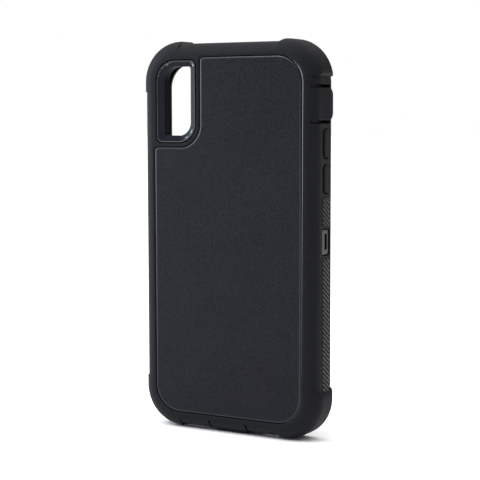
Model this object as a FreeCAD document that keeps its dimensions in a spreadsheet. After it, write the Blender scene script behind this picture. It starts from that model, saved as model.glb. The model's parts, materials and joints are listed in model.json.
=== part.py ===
import FreeCAD, Part
import os
import re
import Sketcher

# A rugged phone case, standing on its bottom corners with its back to -Y and its screen side to +Y.
# A soft cover wraps a two-piece hard shell, which clips round the phone. Millimetres throughout.
# X is across the case, Y is through it and Z is along it. Z = 0 is the foot of the bottom bumpers.

DOC = FreeCAD.newDocument("phone_case")
SHEET = DOC.addObject("Spreadsheet::Sheet", "dims")

SIZES = {
    # The cover's outer form, without its corner bumpers
    "half_width": 39.9,
    "base_level": 1.0,
    "top_level": 157.7,
    "case_depth": 15.0,
    "corner_round": 16.5,
    "back_round": 5.4,
    "front_round": 1.5,
    # Corner bumpers
    "proud": 1.0,
    "bumper_reach": 19.5,
    "switch_side_reach": 13.9,
    "bumper_across": 17.0,
    "bumper_slant": 1.6,
    "bumper_end_slant": 1.4,
    "bumper_inset": 10.0,
    # Small values used in several places
    "small_inset": 0.25,
    "half_seam": 0.05,
    "crisp_round": 0.1,
    "clear_past": 3.0,
    # Layers from the back face to the screen
    "cover_back": 2.0,
    "fit_gap": 0.1,
    "shell_plate": 1.6,
    "pad_thick": 1.0,
    "phone_room": 7.9,
    "frame_lip": 1.2,
    # The room for the phone and the walls round it
    "pocket_half": 35.65,
    "pocket_base": 7.35,
    "pocket_top": 151.35,
    "pocket_round": 11.5,
    "side_wall": 1.45,
    "end_wall": 1.95,
    "shell_round": 1.0,
    "screen_margin": 1.65,
    "cover_lip_cover": 1.2,
    "parting_line": 8.65,
    # The raised back panel, with its notch round the camera
    "panel_half": 33.8,
    "panel_base": 6.9,
    "panel_top": 151.9,
    "panel_round": 10.8,
    "panel_gap": 0.25,
    "notch_side": -12.0,
    "notch_base": 115.7,
    "notch_round": 9.6,
    "notch_tip_round": 1.7,
    # Camera bezel
    "rim_left": -32.7,
    "rim_right": -14.2,
    "rim_base": 117.85,
    "rim_top": 150.75,
    "rim_large_round": 8.0,
    "rim_small_round": 2.2,
    "rim_width": 0.45,
    "rim_gap": 0.45,
    "funnel_depth": 0.7,
    "hole_left": -29.3,
    "hole_right": -16.7,
    "hole_base": 120.5,
    "hole_top": 148.4,
    "hole_large_round": 5.6,
    "hole_small_round": 1.2,
    "neck_wall": 1.1,
    # Flaps
    "flap_skin_gap": 0.05,
    "flap_end": 13.9,
    "flap_end_gap": 0.3,
    "flap_corner_round": 3.0,
    "hinge_gap": 0.1,
    "switch_hinge": 0.85,
    "switch_flap_base": 126.75,
    "switch_flap_top": 139.4,
    "switch_slit": 1.3,
    "switch_ramp_start": 5.6,
    "switch_lip_back": 11.2,
    "switch_lip_proud": 0.98,
    "port_hinge": 0.33,
    "port_flap_half": 8.2,
    "port_slit": 0.8,
    "port_lip_back": 4.0,
    "port_lip_proud": 0.8,
    "plug_back": 6.75,
    "plug_front": 10.6,
    "plug_gap": 0.35,
    "plug_front_gap": 0.6,
    "switch_plug_base": 129.6,
    "switch_plug_top": 136.5,
    "port_plug_half": 5.9,
    # Buttons
    "pad_back": 8.0,
    "pad_front": 12.4,
    "pad_round": 2.0,
    "moat": 1.15,
    "pad_proud": 0.3,
    "pad_gap": 0.25,
    "pad_inner": 37.75,
    "stem_inner": 35.9,
    "stem_back": 8.4,
    "stem_front": 10.5,
    "stem_inset": 2.2,
    "stem_gap": 0.3,
    "volume_up_base": 112.1,
    "volume_up_top": 123.3,
    "volume_down_base": 98.3,
    "volume_down_top": 109.4,
    "side_base": 100.5,
    "side_top": 121.0,
    # Clips that hold the two halves of the shell together
    "loop_base": 74.2,
    "loop_top": 84.0,
    "loop_back": 6.9,
    "loop_front": 12.5,
    "loop_round": 0.9,
    "loop_outer": 39.5,
    "slot_base": 76.2,
    "slot_top": 82.3,
    "slot_back": 9.4,
    "slot_front": 11.2,
    "tooth_gap": 0.15,
    "tooth_outer": 38.2,
    "window_gap": 0.45,
    # Sound slots either side of the charging port
    "sound_near": 13.0,
    "sound_far": 23.0,
    "sound_back": 7.6,
    "sound_front": 9.7,
    "sound_round": 0.9,
}

for row, (alias, number) in enumerate(SIZES.items(), start=1):
    SHEET.set(f"A{row}", alias)
    SHEET.set(f"B{row}", str(number))
    SHEET.setAlias(f"B{row}", alias)
DOC.recompute()

# Levels through the case, worked out from the layers
BACK = "-case_depth / 2"
FRONT = "case_depth / 2"
SHELL_BACK = f"{BACK} + cover_back + fit_gap"
PAD_BACK = f"{SHELL_BACK} + shell_plate"
PHONE_BACK = f"{PAD_BACK} + pad_thick"
PHONE_FRONT = f"{PHONE_BACK} + phone_room"
LIP_FRONT = f"{PHONE_FRONT} + frame_lip"
PARTING = f"{BACK} + parting_line"

# Walls of the hard shell, worked out from the pocket
SHELL_HALF = "pocket_half + side_wall"
SHELL_BASE = "pocket_base - end_wall"
SHELL_TOP = "pocket_top + end_wall"
SHELL_CORNER = "pocket_round + side_wall"


def linked(expression):
    """The expression with each size's name pointed at the sheet."""
    return re.sub(r"[a-z]\w*", lambda word: f"dims.{word.group()}", expression)


def size(expression):
    """The expression's value now, in mm."""
    return float(SHEET.evalExpression(linked(expression)))


def bind(thing, name, expression):
    """Ties one property to the sheet."""
    thing.setExpression(name, linked(expression))


def fix_distance(sketch, kind, geometry, point, expression):
    """Ties a point's distance from the sketch's origin to the sheet."""
    value = size(expression)
    if value >= 0:
        rule = Sketcher.Constraint(kind, -1, 1, geometry, point, value)
        index = sketch.addConstraint(rule)
        bind(sketch, f"Constraints[{index}]", expression)
    else:
        rule = Sketcher.Constraint(kind, geometry, point, -1, 1, -value)
        index = sketch.addConstraint(rule)
        bind(sketch, f"Constraints[{index}]", f"-({expression})")


def draw_rounded(sketch, corners):
    """A closed outline of level and upright lines, with an arc at each corner (across, up, radius)."""
    points = [FreeCAD.Vector(size(across), size(up), 0) for across, up, _ in corners]
    count = len(corners)
    starts, ends, arcs = [], [], []
    for number, (_, _, radius) in enumerate(corners):
        corner = points[number]
        before = (points[number - 1] - corner).normalize() * size(radius)
        after = (points[(number + 1) % count] - corner).normalize() * size(radius)
        centre = corner + before + after
        middle = centre + (corner - centre).normalize() * size(radius)
        ends.append(corner + before)
        starts.append(corner + after)
        arcs.append(Part.Arc(corner + before, middle, corner + after))
    arc_ids = [sketch.addGeometry(arc, False) for arc in arcs]
    line_ids = []
    for number in range(count):
        following = (number + 1) % count
        line = Part.LineSegment(starts[number], ends[following])
        line_ids.append(sketch.addGeometry(line, False))
    for number, (across, up, radius) in enumerate(corners):
        line_in, line_out = line_ids[number - 1], line_ids[number]
        arc = arc_ids[number]
        first_is_in = (sketch.getPoint(arc, 1) - ends[number]).Length < 1e-6
        in_point, out_point = (1, 2) if first_is_in else (2, 1)
        sketch.addConstraint(Sketcher.Constraint("Tangent", line_in, 2, arc, in_point))
        sketch.addConstraint(Sketcher.Constraint("Tangent", line_out, 1, arc, out_point))
        index = sketch.addConstraint(Sketcher.Constraint("Radius", arc, size(radius)))
        bind(sketch, f"Constraints[{index}]", radius)
        run = points[(number + 1) % count] - points[number]
        if abs(run.x) > abs(run.y):
            sketch.addConstraint(Sketcher.Constraint("Horizontal", line_out))
            fix_distance(sketch, "DistanceY", line_out, 1, up)
        else:
            sketch.addConstraint(Sketcher.Constraint("Vertical", line_out))
            fix_distance(sketch, "DistanceX", line_out, 1, across)


def draw_straight(sketch, corners):
    """A closed outline of straight lines through the corners (across, up)."""
    points = [FreeCAD.Vector(size(across), size(up), 0) for across, up in corners]
    lines = []
    for number, point in enumerate(points):
        line = Part.LineSegment(point, points[(number + 1) % len(points)])
        lines.append(sketch.addGeometry(line, False))
    for number, (across, up) in enumerate(corners):
        join = Sketcher.Constraint("Coincident", lines[number - 1], 2, lines[number], 1)
        sketch.addConstraint(join)
        fix_distance(sketch, "DistanceX", lines[number], 1, across)
        fix_distance(sketch, "DistanceY", lines[number], 1, up)


def block(name, plane, start, end, corners):
    """A body padded from one outline, from start to end across its plane."""
    body = DOC.addObject("PartDesign::Body", name)
    sketch = body.newObject("Sketcher::SketchObject", f"{name}_outline")
    planes = [item for item in body.Origin.OriginFeatures if item.Role == f"{plane}_Plane"]
    sketch.AttachmentSupport = (planes[0], [""])
    sketch.MapMode = "FlatFace"
    offset = f"-({end})" if plane == "XZ" else start
    bind(sketch, ".AttachmentOffset.Base.z", offset)
    if len(corners[0]) == 3:
        draw_rounded(sketch, corners)
    else:
        draw_straight(sketch, corners)
    pad = body.newObject("PartDesign::Pad", f"{name}_pad")
    pad.Profile = sketch
    bind(pad, "Length", f"({end}) - ({start})")
    DOC.recompute()
    return body


def soften(body, level, radius):
    """Rounds the edges of the body that lie wholly at one level through the case."""
    base = body.Tip
    where = size(level)
    names = []
    for number, edge in enumerate(base.Shape.Edges, start=1):
        box = edge.BoundBox
        if abs(box.YMin - where) < 1e-4 and abs(box.YMax - where) < 1e-4:
            names.append(f"Edge{number}")
    fillet = body.newObject("PartDesign::Fillet", f"{body.Name}_round")
    fillet.Base = (base, names)
    bind(fillet, "Radius", radius)
    DOC.recompute()
    return body


def rounded(low_across, high_across, low_up, high_up, radius):
    """The corners of a rectangle with one radius."""
    return [
        (low_across, low_up, radius),
        (high_across, low_up, radius),
        (high_across, high_up, radius),
        (low_across, high_up, radius),
    ]


def fuse(name, *solids):
    """One solid from several."""
    joined = DOC.addObject("Part::MultiFuse", name)
    joined.Shapes = list(solids)
    joined.Refine = False
    return joined


def combine(kind, name, base, tool):
    """A Part::Cut or Part::Common of two solids."""
    result = DOC.addObject(f"Part::{kind}", name)
    result.Base = base
    result.Tool = tool
    result.Refine = False
    return result


def cut(name, base, *tools):
    """The base with each tool taken away in turn."""
    result = base
    for number, tool in enumerate(tools, start=1):
        step = name if number == len(tools) else f"{name}_{number}"
        result = combine("Cut", step, result, tool)
        DOC.recompute()
        if result.Shape.Volume > result.Base.Shape.Volume - 0.01:
            raise RuntimeError(f"{step}: {tool.Name} cuts nothing")
    return result


def sided(name, side, inner, outer, low, high, base, top, radius):
    """A block on one flank (side 1 or -1), between two distances from the middle."""
    start, end = (inner, outer) if side > 0 else (f"-({outer})", f"-({inner})")
    low, high = f"{BACK} + {low}", f"{BACK} + {high}"
    return block(name, "YZ", start, end, rounded(low, high, base, top, radius))


def shell_outline(grow):
    """The hard shell's outline, grown all round."""
    return rounded(
        f"-({SHELL_HALF} + {grow})",
        f"{SHELL_HALF} + {grow}",
        f"{SHELL_BASE} - {grow}",
        f"{SHELL_TOP} + {grow}",
        f"{SHELL_CORNER} + {grow}",
    )


def pocket_outline(shrink):
    """The phone's outline with its fitting room, drawn in all round."""
    return rounded(
        f"-(pocket_half - {shrink})",
        f"pocket_half - {shrink}",
        f"pocket_base + {shrink}",
        f"pocket_top - {shrink}",
        f"pocket_round - {shrink}",
    )


def panel_outline(grow):
    """The back panel: a rounded rectangle with a stepped notch for the camera bezel."""
    return [
        (f"-(panel_half + {grow})", f"panel_base - {grow}", f"panel_round + {grow}"),
        (f"panel_half + {grow}", f"panel_base - {grow}", f"panel_round + {grow}"),
        (f"panel_half + {grow}", f"panel_top + {grow}", f"panel_round + {grow}"),
        (f"notch_side - {grow}", f"panel_top + {grow}", f"notch_tip_round + {grow}"),
        (f"notch_side - {grow}", f"notch_base + {grow}", f"notch_round - {grow}"),
        (f"-(panel_half + {grow})", f"notch_base + {grow}", f"notch_tip_round + {grow}"),
    ]


def leaf_outline(part, grow):
    """The bezel's leaf-like outline: two large rounds on one diagonal, two small on the other."""
    large, small = f"{part}_large_round + {grow}", f"{part}_small_round + {grow}"
    left, right = f"{part}_left - {grow}", f"{part}_right + {grow}"
    base, top = f"{part}_base - {grow}", f"{part}_top + {grow}"
    return [(left, base, small), (right, base, large), (right, top, small), (left, top, large)]


def cover_form():
    """The cover's outer form without bumpers, filled."""
    outline = rounded("-half_width", "half_width", "base_level", "top_level", "corner_round")
    form = block("cover_form", "XZ", BACK, FRONT, outline)
    soften(form, BACK, "back_round")
    return soften(form, FRONT, "front_round")


def bumper_region(name, across, up, flank_reach):
    """The part of the outline that one corner bumper covers; its ends slant out past the sides."""
    side = "" if across > 0 else "-"
    plus, minus = ("+", "-") if up > 0 else ("-", "+")
    level = "top_level" if up > 0 else "base_level"
    flank_end = f"{level} {minus} {flank_reach}"
    rows = [
        ("half_width + clear_past", f"{flank_end} {plus} clear_past * bumper_slant / proud"),
        ("half_width", flank_end),
        ("half_width - bumper_inset", flank_end),
        ("half_width - bumper_across", f"{level} {minus} bumper_inset"),
        ("half_width - bumper_across", level),
        ("half_width - bumper_across + clear_past * bumper_end_slant / proud", f"{level} {plus} clear_past"),
        ("half_width + clear_past", f"{level} {plus} clear_past"),
    ]
    corners = [(f"{side}({out})", height) for out, height in rows]
    return block(name, "XZ", f"{BACK} - proud", f"{FRONT} + proud", corners)


def bumpers():
    """Four raised corners, which blend into the back and stand proud of the sides."""
    outline = rounded(
        "-(half_width + proud)",
        "half_width + proud",
        "base_level - proud",
        "top_level + proud",
        "corner_round",
    )
    form = block("bumper_form", "XZ", BACK, FRONT, outline)
    soften(form, BACK, "back_round + proud")
    soften(form, FRONT, "front_round")
    regions = []
    for across, up in ((1, 1), (-1, 1), (-1, -1), (1, -1)):
        reach = "switch_side_reach" if (across, up) == (1, 1) else "bumper_reach"
        name = f"bumper_{'right' if across > 0 else 'left'}_{'top' if up > 0 else 'base'}"
        regions.append(bumper_region(name, across, up, reach))
    return combine("Common", "bumper_corners", form, fuse("bumper_regions", *regions))


def flap_region(name, part, gap):
    """The block that a flap takes out of the cover, or the smaller one that the flap fills."""
    root = f"{BACK} + {part}_hinge" if gap else f"{BACK} + {part}_hinge + hinge_gap"
    tip = f"{BACK} + flap_end + flap_end_gap" if gap else f"{BACK} + flap_end"
    slit = f"{part}_slit" if gap else "0"
    if part == "switch":
        low, high = f"switch_flap_base - {slit}", f"switch_flap_top + {slit}"
        corners = [
            (root, low, "crisp_round"),
            (tip, low, "flap_corner_round"),
            (tip, high, "flap_corner_round"),
            (root, high, "crisp_round"),
        ]
        inner = SHELL_HALF if gap else f"{SHELL_HALF} + fit_gap + flap_skin_gap"
        return block(name, "YZ", inner, "half_width + clear_past", corners)
    low, high = f"-(port_flap_half + {slit})", f"port_flap_half + {slit}"
    corners = [
        (low, root, "crisp_round"),
        (high, root, "crisp_round"),
        (high, tip, "flap_corner_round"),
        (low, tip, "flap_corner_round"),
    ]
    inner = SHELL_BASE if gap else f"{SHELL_BASE} - fit_gap - flap_skin_gap"
    return block(name, "XY", "base_level - clear_past", inner, corners)


def switch_flap(form):
    """The flap over the ring switch: a ramp rises to its finger lip, and a plug fills the hole."""
    start, crest = f"{BACK} + switch_ramp_start", f"{BACK} + switch_lip_back"
    inner, outer = "half_width - front_round", "half_width + switch_lip_proud"
    ramp = [(inner, FRONT), (inner, start), ("half_width", start), (outer, crest), (outer, FRONT)]
    lip = block("switch_lip", "XY", "switch_flap_base", "switch_flap_top", ramp)
    region = flap_region("switch_flap_region", "switch", False)
    skin = combine("Common", "switch_flap_skin", fuse("ramped_form", form, lip), region)
    plug = sided(
        "switch_plug", 1, "pocket_half + small_inset", f"{SHELL_HALF} + cover_back",
        "plug_back", "plug_front", "switch_plug_base", "switch_plug_top", "loop_round",
    )
    return fuse("switch_flap_whole", skin, plug)


def port_flap(form):
    """The flap over the charging port, hinged behind, with a plug towards the phone."""
    region = flap_region("port_flap_region", "port", False)
    skin = combine("Common", "port_flap_skin", form, region)
    lip_outline = rounded(
        "-(port_flap_half - small_inset)",
        "port_flap_half - small_inset",
        f"{BACK} + port_lip_back",
        f"{BACK} + flap_end",
        "pad_round",
    )
    lip = block("port_lip", "XY", "base_level - port_lip_proud", "base_level + cover_back", lip_outline)
    plug_outline = rounded(
        "-port_plug_half", "port_plug_half", f"{BACK} + plug_back", f"{BACK} + plug_front", "loop_round"
    )
    plug = block("port_plug", "XY", "base_level + cover_back", "pocket_base - small_inset", plug_outline)
    return fuse("port_flap_whole", skin, lip, plug)


def button(name, side, base, top):
    """A soft pad with a stem that reaches in to the phone's own button."""
    pad = sided(
        f"{name}_pad_block", side, "pad_inner", "half_width + pad_proud",
        "pad_back", "pad_front", base, top, "pad_round",
    )
    stem = sided(
        f"{name}_stem", side, "stem_inner", "pad_inner + cover_back",
        "stem_back", "stem_front", f"{base} + stem_inset", f"{top} - stem_inset", "loop_round",
    )
    return fuse(f"{name}_whole", pad, stem)


def button_openings(name, side, base, top):
    """The hole in the cover, with a moat behind the pad, and the slot in the shell's walls."""
    hole = sided(
        f"{name}_hole", side, "pocket_half", "half_width + clear_past",
        "pad_back - moat", "pad_front + pad_gap",
        f"{base} - pad_gap", f"{top} + pad_gap", "pad_round + pad_gap",
    )
    slot = sided(
        f"{name}_slot", side, "pocket_half - side_wall", "half_width",
        "stem_back - stem_gap", "stem_front + stem_gap",
        f"{base} + stem_inset - stem_gap", f"{top} - stem_inset + stem_gap", "loop_round",
    )
    return hole, slot


def clip(name, side):
    """One clip: the loop and its root on the back half, its slot, the tooth and the cover's window."""
    loop = sided(
        f"{name}_loop", side, f"{SHELL_HALF} + half_seam", "loop_outer",
        "loop_back", "loop_front", "loop_base", "loop_top", "loop_round",
    )
    root = sided(
        f"{name}_root", side, "pocket_half + small_inset", f"{SHELL_HALF} + small_inset",
        "loop_back", "parting_line - fit_gap", "loop_base", "loop_top", "crisp_round",
    )
    slot = sided(
        f"{name}_slot", side, SHELL_HALF, "loop_outer + clear_past",
        "slot_back", "slot_front", "slot_base", "slot_top", "crisp_round",
    )
    tooth = sided(
        f"{name}_tooth", side, "pocket_half + small_inset", "tooth_outer",
        "slot_back + tooth_gap", "slot_front - tooth_gap",
        "slot_base + tooth_gap", "slot_top - tooth_gap", "crisp_round",
    )
    window = sided(
        f"{name}_window", side, SHELL_HALF, "half_width + clear_past",
        "loop_back - window_gap", "loop_front + window_gap",
        "loop_base - window_gap", "loop_top + window_gap", "loop_round + window_gap",
    )
    return cut(f"{name}_body", fuse(f"{name}_blank", loop, root), slot), tooth, window


def sound_slot(name, side):
    """A slot through the bottom walls, for the phone's speaker or microphone."""
    near, far = "sound_near", "sound_far"
    low, high = (near, far) if side > 0 else (f"-{far}", f"-{near}")
    corners = rounded(low, high, f"{BACK} + sound_back", f"{BACK} + sound_front", "sound_round")
    return block(name, "XY", "base_level - clear_past", "pocket_base + clear_past", corners)


def camera_bezel():
    """A glossy funnel: a rim flush with the back, a slope, and a neck through the shell and lining."""
    rim = block("bezel_rim", "XZ", BACK, SHELL_BACK, leaf_outline("rim", "0"))
    neck_outline = leaf_outline("hole", "neck_wall")
    neck = block("bezel_neck", "XZ", SHELL_BACK, PHONE_BACK, neck_outline)
    hole = block("bezel_hole", "XZ", f"{BACK} - proud", f"{PHONE_BACK} + proud", leaf_outline("hole", "0"))
    funnel = DOC.addObject("Part::Loft", "bezel_funnel")
    mouth = loft_section("funnel_mouth", BACK, leaf_outline("rim", "-rim_width"))
    throat = loft_section("funnel_throat", f"{BACK} + funnel_depth", leaf_outline("hole", "0"))
    funnel.Sections = [mouth, throat]
    funnel.Solid = True
    funnel.Ruled = True
    return cut("bezel_whole", fuse("bezel_blank", rim, neck), hole, funnel)


def loft_section(name, level, corners):
    """A free sketch across the case at one level, for a loft."""
    sketch = DOC.addObject("Sketcher::SketchObject", name)
    sketch.Placement = FreeCAD.Placement(
        FreeCAD.Vector(0, size(level), 0), FreeCAD.Rotation(FreeCAD.Vector(1, 0, 0), 90)
    )
    bind(sketch, ".Placement.Base.y", level)
    draw_rounded(sketch, corners)
    return sketch


def build():
    """Every sub-part, by its node's name."""
    form = cover_form()
    solid_cover = fuse("cover_solid", form, bumpers())

    buttons = {
        "volume_up_button": (1, "volume_up_base", "volume_up_top"),
        "volume_down_button": (1, "volume_down_base", "volume_down_top"),
        "side_button": (-1, "side_base", "side_top"),
    }
    holes, slots, nodes = [], [], {}
    for name, (side, base, top) in buttons.items():
        nodes[name] = button(name, side, base, top)
        hole, slot = button_openings(name, side, base, top)
        holes.append(hole)
        slots.append(slot)

    loops, teeth, windows = zip(clip("right_clip", 1), clip("left_clip", -1))
    sounds = [sound_slot("right_sound", 1), sound_slot("left_sound", -1)]
    switch_hole = sided(
        "switch_hole", 1, "pocket_half - side_wall", f"{SHELL_HALF} + proud",
        "plug_back - plug_gap", "plug_front + plug_front_gap",
        "switch_plug_base - plug_gap", "switch_plug_top + plug_gap", "loop_round",
    )
    port_outline = rounded(
        "-(port_plug_half + plug_gap)",
        "port_plug_half + plug_gap",
        f"{BACK} + plug_back - plug_gap",
        f"{BACK} + plug_front + plug_front_gap",
        "loop_round",
    )
    port_hole = block("port_hole", "XY", f"{SHELL_BASE} - proud", "pocket_base + proud", port_outline)
    wall_holes = slots + sounds + [switch_hole, port_hole]

    # The two halves of the hard shell
    tray = block("shell_tray", "XZ", SHELL_BACK, f"{PARTING} - half_seam", shell_outline("0"))
    soften(tray, SHELL_BACK, "shell_round")
    panel = block("raised_panel", "XZ", BACK, f"{SHELL_BACK} + fit_gap", panel_outline("0"))
    pocket = block("phone_pocket", "XZ", PAD_BACK, f"{FRONT}", pocket_outline("0"))
    camera_seat = block(
        "camera_seat", "XZ", BACK, PHONE_BACK, leaf_outline("hole", "(neck_wall + fit_gap)")
    )
    shell_blank = cut("shell_hollow", fuse("shell_blank", tray, panel), pocket, camera_seat)
    nodes["back_shell"] = cut("back_shell_whole", fuse("shell_with_clips", shell_blank, *loops), *wall_holes)

    rim = block("frame_ring", "XZ", f"{PARTING} + half_seam", LIP_FRONT, shell_outline("0"))
    room = block("frame_room", "XZ", f"{PARTING} - proud", PHONE_FRONT, pocket_outline("0"))
    screen = block(
        "screen_opening", "XZ", PHONE_BACK, f"{FRONT} + proud", pocket_outline("screen_margin")
    )
    ring = cut("frame_open", rim, room, screen)
    nodes["front_frame"] = cut("front_frame_whole", fuse("frame_with_teeth", ring, *teeth), *wall_holes)

    # The soft cover, with its openings
    cavity_front = f"{LIP_FRONT} + fit_gap"
    cavity = block("cover_cavity", "XZ", f"{BACK} + cover_back", cavity_front, shell_outline("fit_gap"))
    soften(cavity, f"{BACK} + cover_back", "shell_round")
    window = block(
        "panel_window", "XZ", f"{BACK} - proud", f"{SHELL_BACK} + proud", panel_outline("panel_gap")
    )
    mouth = block("cover_mouth", "XZ", PHONE_FRONT, f"{FRONT} + proud", shell_outline("-cover_lip_cover"))
    bezel_hole = block(
        "bezel_clearance", "XZ", f"{BACK} - proud", SHELL_BACK, leaf_outline("rim", "rim_gap")
    )
    switch_gap = flap_region("switch_flap_gap", "switch", True)
    port_gap = flap_region("port_flap_gap", "port", True)
    nodes["slipcover"] = cut(
        "slipcover_whole", solid_cover,
        window, mouth, cavity, bezel_hole, switch_gap, port_gap, *holes, *windows, *sounds,
    )
    nodes["mute_switch_flap"] = switch_flap(form)
    nodes["charge_port_flap"] = port_flap(form)

    nodes["camera_bezel"] = camera_bezel()
    lining = block("lining_sheet", "XZ", PAD_BACK, PHONE_BACK, pocket_outline("screen_margin"))
    nodes["foam_lining"] = cut("lining_whole", lining, camera_seat)
    return nodes


def checked(nodes):
    """Recomputes and stops if any object failed or any sub-part isn't one or more sound solids."""
    DOC.recompute()
    for thing in DOC.Objects:
        if "Invalid" in thing.State or "Error" in thing.State:
            raise RuntimeError(f"{thing.Name} failed: {thing.State}")
    for label, thing in nodes.items():
        thing.Label = label
        shape = thing.Shape
        if shape.isNull() or not shape.isValid() or not shape.Solids:
            raise RuntimeError(f"{label} has no sound shape")
        box = shape.optimalBoundingBox(False, False)
        print(
            f"{label}: {len(shape.Solids)} solid, {shape.Volume:.1f} mm3,"
            f" X {box.XMin:.2f}..{box.XMax:.2f} Y {box.YMin:.2f}..{box.YMax:.2f}"
            f" Z {box.ZMin:.2f}..{box.ZMax:.2f}"
        )


parts = build()
checked(parts)
os.makedirs("parts", exist_ok=True)
for node, thing in parts.items():
    thing.Shape.exportStep(f"parts/{node}.step")
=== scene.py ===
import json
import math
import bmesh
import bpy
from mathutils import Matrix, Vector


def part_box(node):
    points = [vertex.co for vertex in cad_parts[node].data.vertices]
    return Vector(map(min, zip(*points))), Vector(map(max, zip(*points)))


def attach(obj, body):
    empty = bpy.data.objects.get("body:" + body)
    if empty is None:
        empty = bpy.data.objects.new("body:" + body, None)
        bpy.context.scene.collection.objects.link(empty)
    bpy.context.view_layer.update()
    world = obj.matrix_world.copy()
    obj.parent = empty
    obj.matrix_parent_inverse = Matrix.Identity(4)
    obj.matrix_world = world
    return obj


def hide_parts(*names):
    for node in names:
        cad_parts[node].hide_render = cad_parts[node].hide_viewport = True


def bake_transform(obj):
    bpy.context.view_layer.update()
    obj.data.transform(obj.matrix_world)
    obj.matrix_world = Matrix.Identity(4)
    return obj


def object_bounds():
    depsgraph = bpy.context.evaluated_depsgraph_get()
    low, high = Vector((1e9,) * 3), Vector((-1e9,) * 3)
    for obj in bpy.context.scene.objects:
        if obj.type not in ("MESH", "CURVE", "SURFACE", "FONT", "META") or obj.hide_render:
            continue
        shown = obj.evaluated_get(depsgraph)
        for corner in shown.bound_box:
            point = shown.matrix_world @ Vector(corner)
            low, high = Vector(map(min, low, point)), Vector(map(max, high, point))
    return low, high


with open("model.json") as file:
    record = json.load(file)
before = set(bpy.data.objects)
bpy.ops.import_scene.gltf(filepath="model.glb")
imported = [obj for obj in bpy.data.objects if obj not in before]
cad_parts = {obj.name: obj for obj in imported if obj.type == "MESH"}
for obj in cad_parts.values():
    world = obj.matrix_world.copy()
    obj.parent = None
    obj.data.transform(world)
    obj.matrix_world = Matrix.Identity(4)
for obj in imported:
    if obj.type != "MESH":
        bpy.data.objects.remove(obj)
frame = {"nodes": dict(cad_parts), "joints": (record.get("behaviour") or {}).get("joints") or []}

# %% [markdown]
# # A rugged phone case
#
# The real case is a soft cover of thermoplastic elastomer over a hard polycarbonate shell in two halves.
# Here it stands on its bottom corners with its back towards us. The frame holds every moulding at its
# true size, so this lesson adds what a mould maker adds last: eased edges, grip ribs, living hinges, and
# the skin of each plastic.

MM = 0.001
cad_low, cad_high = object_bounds()
cover_low, cover_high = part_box("slipcover")
rim_low, rim_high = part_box("camera_bezel")

BACK = cover_low.y
FRONT = cover_high.y
BUMPER_PROUD = 1.0 * MM
FLANK = cover_high.x - BUMPER_PROUD
BACK_ROUND = 5.4 * MM
TOUCH = 0.01 * MM         # points closer than this count as being in one place
print("case, mm:", [round(length / MM, 1) for length in cad_high - cad_low])
print("flank at", round(FLANK / MM, 2), "mm from the middle")

# %% [markdown]
# ## Working on one moulding at a time
#
# An operator acts on everything that is selected, and the frame leaves its nodes selected, so each step
# first clears the selection. A node from the frame is made of loose triangles. A copy with its points
# merged and its flat triangles joined is one clean moulding, whose edges round like those of any mesh.
# The alternative, drawing each moulding again, could drift from the frame's sizes, and a copy can't.

# %% Selecting, and copying a moulding from the frame
def only(piece):
    """Selects one object and makes it the active one."""
    bpy.ops.object.select_all(action="DESELECT")
    piece.select_set(True)
    bpy.context.view_layer.objects.active = piece


def moulding(node, name):
    """A clean copy of a frame node, ready for its edges to be rounded."""
    mesh = frame["nodes"][node].data.copy()
    mesh.materials.clear()
    piece = bpy.data.objects.new(name, mesh)
    bpy.context.scene.collection.objects.link(piece)
    only(piece)
    bpy.ops.object.mode_set(mode="EDIT")
    bpy.ops.mesh.select_all(action="SELECT")
    bpy.ops.mesh.remove_doubles(threshold=0.002 * MM)
    bpy.ops.mesh.customdata_custom_splitnormals_clear()
    bpy.ops.mesh.dissolve_limited(angle_limit=math.radians(0.4))
    bpy.ops.object.mode_set(mode="OBJECT")
    print(f"{name}: {len(mesh.polygons)} faces from the frame")
    return piece


# %% Rounding the edges that a test picks
def round_edges(piece, radius, steps, wanted, sharpness=50):
    """Rounds the sharp edges whose two ends pass a test, and prints how many there were."""
    only(piece)
    bpy.ops.object.mode_set(mode="EDIT")
    bpy.ops.mesh.select_mode(type="EDGE")
    bpy.ops.mesh.select_all(action="DESELECT")
    shape = bmesh.from_edit_mesh(piece.data)
    count = 0
    for edge in shape.edges:
        if len(edge.link_faces) != 2 or edge.calc_face_angle() < math.radians(sharpness):
            continue
        if wanted(edge.verts[0].co, edge.verts[1].co):
            edge.select_set(True)
            count += 1
    bmesh.update_edit_mesh(piece.data)
    if count:
        bpy.ops.mesh.bevel(
            offset=radius, segments=steps, profile=0.5, affect="EDGES", clamp_overlap=False
        )
    bpy.ops.object.mode_set(mode="OBJECT")
    print(f"{piece.name}: {count} edges rounded to {radius / MM:.2f} mm")


def at_level(axis, level, also=None):
    """A test for edges that lie at one level along an axis (0, 1 or 2)."""
    def wanted(first, second):
        flat = all(abs(point[axis] - level) < 2 * TOUCH for point in (first, second))
        return flat and (also is None or also((first + second) / 2))
    return wanted


# %% [markdown]
# ## Handing a piece over
#
# Rounded plastic shades smoothly across its curves and stays even on its flats. Smoothing by angle keeps
# the true edges, and weighting each normal by its face's area keeps the wide flats from picking up a
# false curve beside a thin one. The piece then takes its material and rides on its body.

# %% Finishing a piece
def finished(piece, node, body, material, crease=40):
    """Smooths a piece, gives it its finish and hands it to the body it moves with."""
    only(piece)
    bpy.ops.object.shade_smooth_by_angle(angle=math.radians(crease))
    weighted = piece.modifiers.new("even_flats", "WEIGHTED_NORMAL")
    weighted.keep_sharp = True
    weighted.weight = 100
    bpy.ops.object.modifier_apply(modifier=weighted.name)
    if not piece.data.materials:
        piece.data.materials.append(material)
    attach(piece, body)
    if node:
        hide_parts(node)
    return piece


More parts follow.
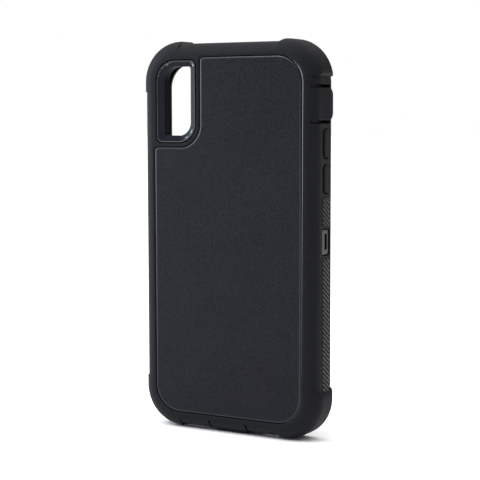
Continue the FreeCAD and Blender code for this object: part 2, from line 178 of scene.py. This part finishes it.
# %% [markdown]
# ## Finishes
#
# Every piece here is a black plastic, so the pieces differ only in their skins. The soft elastomer is
# matt, because its mould was blasted. The hard back panel was moulded against a spark-eroded face, which
# leaves a fine grain. Where two moulds meet, their steel is polished, so the edges are smooth. Image
# textures could draw the grain, but noise in object coordinates needs no unwrapping, and its grain is as
# wide and as deep on every face. The same few nodes serve every plastic, so one function makes them all.

# %% Colour and node helpers
def linear(code):
    """An sRGB hex colour as linear red, green, blue and alpha."""
    values = [int(code[start:start + 2], 16) / 255 for start in (0, 2, 4)]
    return [v / 12.92 if v <= 0.04045 else ((v + 0.055) / 1.055) ** 2.4 for v in values] + [1.0]


def add_node(tree, kind, inputs=None, **settings):
    """Adds a node with its settings; each input, by name or place, is a value or another's output."""
    node = tree.nodes.new(kind)
    for name, value in settings.items():
        setattr(node, name, value)
    for name, value in (inputs or {}).items():
        if isinstance(value, bpy.types.NodeSocket):
            tree.links.new(value, node.inputs[name])
        else:
            node.inputs[name].default_value = value
    return node


# %% One function for a moulded plastic with a grain
MIX_FACTOR, MIX_A, MIX_B, MIX_RESULT = 0, 6, 7, 2     # the colour sockets of a Mix node
CLOUD_SIZE = 18 * MM                                  # how wide the faint uneven patches are
CLOUD_SHARE = 0.12                                    # how strong they are beside the grain
ROUGHNESS_SPREAD = 0.05                               # how much the grain changes the roughness


def moulded_plastic(name, dark, light, grain_mm, depth_mm, roughness, specular, coat=0.0):
    """A plastic with a grain of one width and depth, and faint cloudiness over larger patches."""
    material = bpy.data.materials.new(name)
    material.use_nodes = True
    tree = material.node_tree
    shader = tree.nodes["Principled BSDF"]
    place = add_node(tree, "ShaderNodeTexCoord").outputs["Object"]
    grain = add_node(
        tree, "ShaderNodeTexNoise",
        {"Vector": place, "Scale": 1 / (grain_mm * MM), "Detail": 3.0, "Roughness": 0.6},
    ).outputs["Fac"]
    cloud = add_node(
        tree, "ShaderNodeTexNoise", {"Vector": place, "Scale": 1 / CLOUD_SIZE, "Detail": 2.0}
    ).outputs["Fac"]
    both = add_node(tree, "ShaderNodeMath", {0: cloud, 1: CLOUD_SHARE, 2: grain}, operation="MULTIPLY_ADD")
    tone = add_node(
        tree, "ShaderNodeMapRange", {"Value": both.outputs[0], "From Min": 0.40, "From Max": 0.72}
    )
    colour = add_node(
        tree, "ShaderNodeMix",
        {MIX_FACTOR: tone.outputs["Result"], MIX_A: linear(dark), MIX_B: linear(light)},
        data_type="RGBA",
    )
    rough = add_node(
        tree, "ShaderNodeMapRange",
        {"Value": grain, "From Min": 0.3, "From Max": 0.7,
         "To Min": roughness - ROUGHNESS_SPREAD, "To Max": roughness + ROUGHNESS_SPREAD},
    )
    bump = add_node(tree, "ShaderNodeBump", {"Height": grain, "Distance": depth_mm * MM})
    tree.links.new(colour.outputs[MIX_RESULT], shader.inputs["Base Color"])
    tree.links.new(rough.outputs["Result"], shader.inputs["Roughness"])
    tree.links.new(bump.outputs["Normal"], shader.inputs["Normal"])
    shader.inputs["Specular IOR Level"].default_value = specular
    shader.inputs["Coat Weight"].default_value = coat
    shader.inputs["Coat Roughness"].default_value = 0.06
    print(f"{name}: grain {grain_mm} mm wide and {depth_mm} mm deep")
    return material


# %% The elastomer's skins
# A real blasted grain is about 0.1 mm wide. Each grain is drawn some four times coarser, so that it shows.
# The blasted skin scatters light, so it stays a dull black. The smooth skin of the ribs is smoother and
# shinier, and its lighter colour is a painted sheen. The lip's faces that turn left, towards the left
# softbox, take a lighter and shinier elastomer, which is a painted highlight. Both plastics have an index
# of about 1.5, which is a specular level of 0.5. Where pores swallow the light, the level is lowered to
# match.
BLASTED_TPE = moulded_plastic("blasted_elastomer", "07080A", "16171C", 0.42, 0.040, 0.60, 0.12)
# A smoother, shinier skin, with a painted sheen in its lighter colour.
SMOOTH_SHEEN_TPE = moulded_plastic("smooth_elastomer_painted_sheen", "141418", "1E1E22", 0.45, 0.010, 0.42, 0.34)
# A painted highlight: a lighter, shinier copy of the elastomer for the lip's faces that turn to the light.
LIP_PAINTED_HIGHLIGHT_TPE = moulded_plastic("lip_painted_highlight_elastomer", "141418", "1E1E22", 0.45, 0.003, 0.38, 0.75)

# %% The polycarbonate's skins, and the foam
# The sparked skin sparkles faintly. The smooth one draws a line of light along an edge, and the satin one
# is the lightest of the blacks. The polished rim mirrors the lights. The bezel's slopes are fine grained,
# and its neck is dulled so that no glare reaches the lens. The foam's cells trap the light.
SPARKED_PC = moulded_plastic("spark_grained_polycarbonate", "040508", "191A21", 0.48, 0.050, 0.45, 0.13)
SMOOTH_PC = moulded_plastic("smooth_polycarbonate", "0A0B0E", "131419", 0.40, 0.003, 0.32, 0.40)
SATIN_PC = moulded_plastic("satin_polycarbonate", "232325", "2C2C2E", 0.35, 0.010, 0.42, 0.40)
POLISHED_PC = moulded_plastic("polished_polycarbonate", "050506", "09090B", 0.60, 0.002, 0.18, 0.80, 0.4)
FUNNEL_PC = moulded_plastic("fine_polycarbonate", "101318", "181B21", 0.40, 0.002, 0.30, 0.08)
GLARE_FREE_PC = moulded_plastic("glare_free_polycarbonate", "030304", "060607", 0.60, 0.002, 0.50, 0.04)
CELLED_FOAM = moulded_plastic("closed_cell_foam", "131316", "1F1F24", 0.80, 0.120, 0.90, 0.20)

# %% [markdown]
# ## The soft cover's lip
#
# Where the cover meets the raised panel, both edges are eased, which makes the groove that catches the
# light. The panel's edge is wide and shallow. A bevel can't be wider than it is deep, so the flat face is
# sunk, then inset in steps that rise back to its level. The cover's lip is only half a millimetre from the
# start of the cover's rounded back, so a bevel there would fold over itself. A tool shaped like the panel,
# flared at its mouth, cuts that lip cleanly instead. The panel's outline becomes a low tube, the tube is
# fattened and closed, and its inner end is inset. It leans a little, so that the lip is deepest at the
# camera end and is shallow at the foot.

# %% The panel's flat face, and its eased edge
def pick_back_face(piece):
    """Starts editing a piece with only its flat face at the back selected."""
    bpy.ops.object.mode_set(mode="EDIT")
    bpy.ops.mesh.select_mode(type="FACE")
    bpy.ops.mesh.select_all(action="DESELECT")
    shape = bmesh.from_edit_mesh(piece.data)
    for face in shape.faces:
        face.select_set(abs(face.calc_center_median().y - BACK) < TOUCH and face.normal.y < -0.99)
    bmesh.update_edit_mesh(piece.data)


def ease_panel(piece, width, depth, steps):
    """Sinks the panel's flat face, then brings it back in rounded steps that leave an eased edge."""
    only(piece)
    pick_back_face(piece)
    bpy.ops.transform.translate(value=(0, depth, 0))
    turn = math.pi / 2 / steps
    for step in range(steps):
        across = width * (math.cos(step * turn) - math.cos((step + 1) * turn))
        along = depth * (math.sin((step + 1) * turn) - math.sin(step * turn))
        bpy.ops.mesh.inset(thickness=across, depth=along, use_even_offset=True)
    bpy.ops.object.mode_set(mode="OBJECT")
    for face in piece.data.polygons:
        in_edge = BACK + TOUCH < face.center.y < BACK + depth
        face.material_index = int(in_edge and -0.995 < face.normal.y < -0.05)
    print(f"{piece.name}: edge eased {width / MM:.2f} mm wide and {depth / MM:.2f} mm deep")


# %% A flared tool in the panel's outline
LIP_FADE = 0.36 * MM
LIP_SLOPES_MM = ((0.12, 0.02), (0.38, 0.15), (0.38, 0.19), (0.10, 0.12))     # each slope's width and depth
TUBE_HEIGHT = 1.0 * MM


def panel_tool(piece, gap):
    """A solid round the panel's outline, as wide as the gap, whose mouth flares out in slopes."""
    flare = sum(across for across, deep in LIP_SLOPES_MM) * MM
    only(piece)
    bpy.ops.object.duplicate()
    tool = bpy.context.object
    pick_back_face(tool)
    bpy.ops.mesh.select_all(action="INVERT")
    bpy.ops.mesh.delete(type="FACE")
    bpy.ops.mesh.select_all(action="SELECT")
    bpy.ops.mesh.delete(type="ONLY_FACE")
    bpy.ops.mesh.select_mode(type="EDGE")
    bpy.ops.mesh.select_all(action="SELECT")
    bpy.ops.transform.translate(value=(0, -TOUCH, 0))
    bpy.ops.mesh.extrude_region_move(TRANSFORM_OT_translate={"value": (0, -TUBE_HEIGHT, 0)})
    bpy.ops.mesh.select_all(action="SELECT")
    bpy.ops.mesh.normals_make_consistent(inside=False)
    bpy.ops.transform.shrink_fatten(value=gap + flare, use_even_offset=True)
    bpy.ops.mesh.fill_holes(sides=0)
    bpy.ops.mesh.select_all(action="SELECT")
    bpy.ops.mesh.normals_make_consistent(inside=False)
    bpy.ops.mesh.select_mode(type="FACE")
    bpy.ops.mesh.select_all(action="DESELECT")
    shape = bmesh.from_edit_mesh(tool.data)
    for face in shape.faces:
        face.select_set(face.normal.y > 0.99)
    bmesh.update_edit_mesh(tool.data)
    for across, deep in LIP_SLOPES_MM:
        bpy.ops.mesh.inset(thickness=across * MM, depth=deep * MM, use_even_offset=True)
    bpy.ops.mesh.inset(thickness=0.1 * MM, depth=0.02 * MM, use_even_offset=True)
    bpy.ops.object.mode_set(mode="OBJECT")
    top = max(vertex.co.z for vertex in tool.data.vertices)
    base = min(vertex.co.z for vertex in tool.data.vertices)
    pivot = Vector((0, BACK, top))
    lean = Matrix.Rotation(-LIP_FADE / (top - base), 4, "X")
    tool.data.transform(Matrix.Translation(pivot) @ lean @ Matrix.Translation(-pivot))
    print(f"panel tool: {len(tool.data.polygons)} faces, {LIP_FADE / MM:.2f} mm further out at its foot")
    return tool


def take_away(piece, tool):
    """Cuts one solid out of another, leaves the tool's finish on the cut, and removes the tool."""
    only(piece)
    cut = piece.modifiers.new("cut", "BOOLEAN")
    cut.operation = "DIFFERENCE"
    cut.solver = "EXACT"
    cut.material_mode = "TRANSFER"
    cut.object = tool
    bpy.ops.object.modifier_apply(modifier=cut.name)
    bpy.data.objects.remove(tool)


# %% [markdown]
# ## The soft cover
#
# The cover is one soft moulding with a mouth for the screen, a window for the panel, and holes for the
# bezel and the buttons. A moulder eases every edge that a hand touches, by a few tenths of a millimetre.
# Small tests pick the edges of each opening by their place, so that each gets its own radius.

# %% Which edges belong to which opening
mouth_reach = FLANK - 3.4 * MM
button_rows = [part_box(name) for name in ("volume_up_button", "volume_down_button", "side_button")]


def near_bezel(middle):
    """True on the edge of the cover's hole for the bezel."""
    across = rim_low.x - MM < middle.x < rim_high.x + 0.6 * MM
    return across and rim_low.z - 0.6 * MM < middle.z


def in_mouth(middle):
    """True on the edge of the cover's mouth, where the screen shows."""
    return abs(middle.x) < mouth_reach and 5 * MM < middle.z < cover_high.z - 5 * MM


def beside_button(middle):
    """True on the rim of a hole for a button."""
    return any(low.z - MM < middle.z < high.z + MM and middle.x * low.x > 0 for low, high in button_rows)


# %% Easing the cover's openings, and cutting its lip
PANEL_GAP = 0.25 * MM

shell = moulding("back_shell", "back_shell_panel")
cover = moulding("slipcover", "soft_cover")
round_edges(cover, 0.20 * MM, 2, at_level(1, BACK, near_bezel))
round_edges(cover, 0.35 * MM, 3, at_level(1, FRONT, in_mouth))
for side in (1, -1):
    round_edges(cover, 0.35 * MM, 3, at_level(0, side * FLANK, beside_button))
cover.data.materials.append(BLASTED_TPE)
tool = panel_tool(shell, PANEL_GAP)
# The tool carries the painted highlight, which the cut leaves on the lip.
tool.data.materials.append(LIP_PAINTED_HIGHLIGHT_TPE)
take_away(cover, tool)

# Only the lip's faces that turn left, towards the left softbox, keep the lighter, shinier elastomer, as a
# painted highlight. They lie beside the volume pads.
for face in cover.data.polygons:
    if face.normal.x > -0.3:
        face.material_index = 0
print("rubbed faces on the lip:", sum(face.material_index for face in cover.data.polygons))
finished(cover, "slipcover", "case", BLASTED_TPE, 60)

# %% [markdown]
# ## The hard back half
#
# The raised panel stands in the cover's window, flush with its back, and the whole moulding is one hard
# piece. Its two clip loops come out through windows in the cover's flanks. Their outer faces have a
# smoother skin than the panel, because the slides that form them aren't grained, so they look lighter.

# %% Back shell, with its raised panel
EDGE_WIDTH = 1.00 * MM
EDGE_DEPTH = 0.45 * MM
CLIP_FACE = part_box("back_shell")[1].x
for skin in (SPARKED_PC, SMOOTH_PC, SATIN_PC):
    shell.data.materials.append(skin)
ease_panel(shell, EDGE_WIDTH, EDGE_DEPTH, 6)
for side in (1, -1):
    round_edges(shell, 0.25 * MM, 2, at_level(0, side * CLIP_FACE))
finished(shell, "back_shell", "case", SPARKED_PC)

# %% The clip loops' satin faces, and their size
LOOP_DEPTH = 2.0 * MM
loop_faces = [face for face in shell.data.polygons if abs(face.center.x) > CLIP_FACE - LOOP_DEPTH]
for face in loop_faces:
    if abs(face.normal.x) > 0.6:
        face.material_index = 2
loop_points = [
    shell.data.vertices[number].co for face in loop_faces for number in face.vertices if face.center.x > 0
]
loop_low = Vector(min(point[axis] for point in loop_points) for axis in range(3))
loop_high = Vector(max(point[axis] for point in loop_points) for axis in range(3))
print("clip loop, mm:", [round(length / MM, 1) for length in loop_high - loop_low])

# %% [markdown]
# ## The screen-side frame and the lining
#
# The frame is the other hard half. It clips into the loops and holds the phone in. The lining is a sheet
# of foam, glued to the inside of the back, that keeps grit from scratching the phone.

# %% Front frame and lining
front = moulding("front_frame", "screen_frame")
round_edges(front, 0.30 * MM, 3, at_level(1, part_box("front_frame")[1].y))
finished(front, "front_frame", "case", SPARKED_PC)

lining = moulding("foam_lining", "foam_sheet")
round_edges(lining, 0.30 * MM, 2, at_level(1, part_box("foam_lining")[1].y))
finished(lining, "foam_lining", "case", CELLED_FOAM)

# %% [markdown]
# ## The camera bezel
#
# The bezel is a funnel that keeps the flash off the case. A fine polished round on its rim draws a line
# of light round it. Its slopes are flat facets that meet at mitres, so only shallow angles are smoothed.
# The three skins could be three pieces, but the real bezel is one moulding, so each face picks its skin.

# %% Bezel
RIM_ROUND = 0.32 * MM
bezel = moulding("camera_bezel", "camera_funnel")
for skin in (POLISHED_PC, FUNNEL_PC, GLARE_FREE_PC):
    bezel.data.materials.append(skin)
round_edges(bezel, RIM_ROUND, 4, at_level(1, BACK))
for face in bezel.data.polygons:
    deepest = max(bezel.data.vertices[number].co.y for number in face.vertices)
    if deepest > BACK + 1.05 * RIM_ROUND:
        face.material_index = 1 if abs(face.normal.y) > 0.1 else 2
finished(bezel, "camera_bezel", "case", POLISHED_PC, 20)

# %% [markdown]
# ## Buttons
#
# Each button is a soft pad that bridges to the phone's own button with a stem. Its pad is well rounded,
# as a thumb expects, and it sits in a moat that lets it sink.

# %% Buttons
for node, body, side in (
    ("volume_up_button", "volume_up", 1),
    ("volume_down_button", "volume_down", 1),
    ("side_button", "side_key", -1),
):
    low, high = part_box(node)
    face = high.x if side > 0 else low.x
    pad = moulding(node, f"{node}_pad")
    round_edges(pad, 0.60 * MM, 4, at_level(0, face))
    finished(pad, node, body, BLASTED_TPE)

# %% [markdown]
# ## Flaps
#
# Two flaps of the same elastomer close the ring switch and the charging port. The switch flap rises along
# a ramp to its free end, where a nail lifts it. Its outer edges are eased from the ramp to the tip.

# %% Flaps
switch_low, switch_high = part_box("mute_switch_flap")
port_low, port_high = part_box("charge_port_flap")


def on_ramp(first, second):
    """True on the outer edges of the switch flap, from the flank outwards."""
    return min(first.x, second.x) > FLANK - 0.02 * MM


switch = moulding("mute_switch_flap", "switch_flap")
round_edges(switch, 0.40 * MM, 3, on_ramp)
finished(switch, "mute_switch_flap", "switch_cover", BLASTED_TPE)

port = moulding("charge_port_flap", "port_flap")
round_edges(port, 0.40 * MM, 4, at_level(2, port_low.z))
finished(port, "charge_port_flap", "port_cover", BLASTED_TPE)

# %% [markdown]
# ## Living hinges
#
# Each flap is one piece with the cover in the real case: a thin web of the same elastomer bends as the flap
# opens. The frame leaves a hairline gap there, so a web is laid across it. It is a thin bar made from a
# cube and divided into a fine grid, and it lies across the hinge line between the case and the flap.

# %% Webs across the hinge lines
WEB_WIDTH = 0.90 * MM
WEB_THICK = 0.16 * MM
WEB_INSET = 0.3 * MM


def hinge_web(joint, low, high, along, centre):
    """A thin bar laid across a hinge line, which runs along one axis, between the case and the joint's
    flap.
    """
    hinge = next(row for row in frame["joints"] if row["name"] == joint)
    length = high[along] - low[along] - 2 * WEB_INSET
    place = Vector(hinge["pos_m"])
    place[along] = (low[along] + high[along]) / 2
    line = Vector(float(axis == along) for axis in range(3))
    out = place - Vector(centre)
    out = (out - out.dot(line) * line).normalized()
    towards = line.cross(out)
    if towards.y < 0:
        towards = -towards
    bpy.ops.object.select_all(action="DESELECT")
    bpy.ops.mesh.primitive_cube_add(size=1)
    web = bpy.context.object
    web.name = f"{joint}_web"
    web.scale = (WEB_WIDTH, length, WEB_THICK)
    bpy.ops.object.transform_apply(location=False, rotation=False, scale=True)
    web.data.transform(Matrix.Translation(place) @ Matrix((towards, line, out)).transposed().to_4x4())
    bpy.ops.object.mode_set(mode="EDIT")
    bpy.ops.mesh.select_all(action="SELECT")
    bpy.ops.mesh.subdivide(number_cuts=5)
    bpy.ops.mesh.normals_make_consistent(inside=False)
    bpy.ops.object.mode_set(mode="OBJECT")
    bpy.ops.object.shade_smooth_by_angle(angle=math.radians(40))
    web.data.materials.append(BLASTED_TPE)
    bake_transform(web)
    print(f"{web.name}: {length / MM:.1f} mm long")


round_y = BACK + BACK_ROUND
round_foot = cover_low.z + BUMPER_PROUD + BACK_ROUND
hinge_web("switch_flap_hinge", switch_low, switch_high, 2, (FLANK - BACK_ROUND, round_y, 0))
hinge_web("port_flap_hinge", port_low, port_high, 0, (0, round_y, round_foot))

# %% [markdown]
# ## Grip ribs
#
# Slanting ribs on both flanks give the fingers something to hold. They could be cut into the cover, but
# raised bars are how a mould makes them, as grooves in the steel. One bar is shaped from a cube, rounded
# on its back and turned to its slope. It is copied at an even pitch, and each band is trimmed level.

# %% One rib
RIB_PITCH = 1.78 * MM
RIB_FALL = 4.0 * MM
RIB_WIDTH = 0.85 * MM
RIB_HEIGHT = 0.42 * MM
RIB_ROUND = 0.26 * MM
BAND_SHIFT = 0.3 * MM         # the band lies this much nearer to the back than the clip loop
BAND_BACK = loop_low.y - BAND_SHIFT
BAND_FRONT = loop_high.y - BAND_SHIFT
BAND_WIDTH = BAND_FRONT - BAND_BACK


def one_rib(side):
    """A bar on one flank, half sunk in it, that falls towards the screen."""
    bpy.ops.object.select_all(action="DESELECT")
    bpy.ops.mesh.primitive_cube_add(size=1)
    rib = bpy.context.object
    rib.scale = (2 * RIB_HEIGHT, math.hypot(BAND_WIDTH, RIB_FALL), RIB_WIDTH)
    bpy.ops.object.transform_apply(location=False, rotation=False, scale=True)
    round_edges(rib, RIB_ROUND, 3, lambda first, second: side * first.x > 0 and side * second.x > 0)
    fall = math.atan2(RIB_FALL, BAND_WIDTH)
    rib.data.transform(Matrix.Rotation(-fall, 4, "X"))
    return rib


# %% Bands of ribs
def joined(pieces):
    """Several objects as one."""
    bpy.ops.object.select_all(action="DESELECT")
    for piece in pieces:
        piece.select_set(True)
    bpy.context.view_layer.objects.active = pieces[0]
    bpy.ops.object.join()
    return pieces[0]


def trimmed(piece, level, keep_above):
    """Cuts a piece level, keeps one side and closes the cut."""
    only(piece)
    bpy.ops.object.mode_set(mode="EDIT")
    bpy.ops.mesh.select_all(action="SELECT")
    bpy.ops.mesh.bisect(
        plane_co=(0, 0, level), plane_no=(0, 0, 1), use_fill=True,
        clear_inner=keep_above, clear_outer=not keep_above,
    )
    bpy.ops.object.mode_set(mode="OBJECT")


def rib_band(template, side, low, high):
    """The ribs of one band, from a low level to a high one."""
    start = low - RIB_FALL / 2
    count = int((high - low + RIB_FALL) / RIB_PITCH) + 1
    ribs = []
    for number in range(count):
        mesh = template.data.copy()
        spot = (side * FLANK, (BAND_BACK + BAND_FRONT) / 2, start + number * RIB_PITCH)
        mesh.transform(Matrix.Translation(spot))
        rib = bpy.data.objects.new("rib", mesh)
        bpy.context.scene.collection.objects.link(rib)
        ribs.append(rib)
    band = joined(ribs)
    trimmed(band, low, True)
    trimmed(band, high, False)
    return band


# %% Where the bands start and end, and the ribs of both flanks
middle_height = (cad_low.z + cad_high.z) / 2
bumper_points = [
    vertex.co.z for vertex in cover.data.vertices
    if vertex.co.x > cover_high.x - 5 * TOUCH and vertex.co.z < middle_height
]
bands = (
    (max(bumper_points) + 0.8 * MM, loop_low.z - 1.8 * MM),
    (loop_high.z + 1.6 * MM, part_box("volume_down_button")[0].z - 1.9 * MM),
)
for name, side in (("right_grip_ribs", 1), ("left_grip_ribs", -1)):
    template = one_rib(side)
    field = joined([rib_band(template, side, low, high) for low, high in bands])
    bpy.data.objects.remove(template)
    field.name = name
    print(name, len(field.data.polygons), "faces")
    # The ribs take the smoother, shinier elastomer; its lighter colour is a painted sheen.
    finished(field, None, "case", SMOOTH_SHEEN_TPE)

# %% [markdown]
# ## Studio
#
# The floor is plain and pale. The world is a soft tent of light: bright overhead, so that the floor stays
# white, and dim towards the horizon, most of all at the right, so that black stays black. To the camera
# the tent is plain white. A cool softbox at the left draws a line of light on the edges that turn that
# way, and a smaller one above does the same for the edges that turn up.

# %% Floor
scene = bpy.context.scene
scene.view_settings.view_transform = "Standard"

bpy.ops.object.select_all(action="DESELECT")
bpy.ops.mesh.primitive_plane_add(size=12, location=(0, 0, -0.2 * MM))
floor = bpy.context.object
floor.name = "pale_floor"
floor_paint = bpy.data.materials.new("pale_matt_paint")
floor_paint.use_nodes = True
floor_shader = floor_paint.node_tree.nodes["Principled BSDF"]
floor_shader.inputs["Base Color"].default_value = linear("F8F8F8")
floor_shader.inputs["Roughness"].default_value = 0.9
floor_shader.inputs["Specular IOR Level"].default_value = 0.1
floor.data.materials.append(floor_paint)
print("floor:", round(floor.dimensions.x, 1), "m square")

# %% World
ZENITH_LIGHT = 2.3
HORIZON_LEFT = 0.40
HORIZON_RIGHT = 0.30
world = bpy.data.worlds.new("studio")
scene.world = world
world.use_nodes = True
sky = world.node_tree
direction = add_node(sky, "ShaderNodeTexCoord").outputs["Generated"]
parts = add_node(sky, "ShaderNodeSeparateXYZ", {"Vector": direction}).outputs
horizon = add_node(
    sky, "ShaderNodeMapRange",
    {"Value": parts["X"], "From Min": -1.0, "From Max": 1.0,
     "To Min": HORIZON_LEFT, "To Max": HORIZON_RIGHT},
).outputs["Result"]
glow = add_node(
    sky, "ShaderNodeMapRange",
    {"Value": parts["Z"], "From Min": 0.45, "From Max": 0.85,
     "To Min": horizon, "To Max": ZENITH_LIGHT},
    interpolation_type="SMOOTHSTEP",
).outputs["Result"]
to_camera = add_node(sky, "ShaderNodeLightPath").outputs["Is Camera Ray"]
strength = add_node(sky, "ShaderNodeMix", {0: to_camera, 2: glow, 3: 1.0}, data_type="FLOAT").outputs[0]
sky.nodes["Background"].inputs["Color"].default_value = linear("FFFFFF")
sky.links.new(strength, sky.nodes["Background"].inputs["Strength"])
print("tent of light:", ZENITH_LIGHT, "overhead,", HORIZON_LEFT, "to", HORIZON_RIGHT, "at the horizon")


# %% Softbox
def softbox(name, place, aim, size, power, colour="FFFFFF"):
    """A square area light aimed at a point."""
    heading = Vector(aim) - Vector(place)
    turn = heading.to_track_quat("-Z", "Y").to_euler()
    bpy.ops.object.light_add(type="AREA", location=place, rotation=turn)
    light = bpy.context.object
    light.name = name
    light.data.size = size
    light.data.energy = power
    light.data.color = linear(colour)[:3]
    print(f"{name}: {size} m wide, {power} W")


MIDDLE = (0, 0, middle_height)
softbox("left_softbox", (-1.1, -0.4, 0.40), MIDDLE, 0.8, 13, "E4ECFF")
softbox("upper_softbox", (-0.44, -0.77, 1.03), MIDDLE, 0.3, 5)

# %% Camera
LENS = 105.4
HEADING, PITCH, ROLL = math.radians(30.10), math.radians(5.216), math.radians(-0.1256)
CAMERA_PLACE = (0.28600, -0.48960, 0.13015)
turn = (
    Matrix.Rotation(HEADING, 3, "Z")
    @ Matrix.Rotation(math.pi / 2 - PITCH, 3, "X")
    @ Matrix.Rotation(ROLL, 3, "Z")
)
bpy.ops.object.camera_add(location=CAMERA_PLACE, rotation=turn.to_euler())
camera = bpy.context.object
camera.data.sensor_width = 36
camera.data.lens = LENS
camera.data.clip_end = 20
scene.camera = camera
print("camera:", LENS, "mm lens,", round(camera.location.length, 2), "m away")
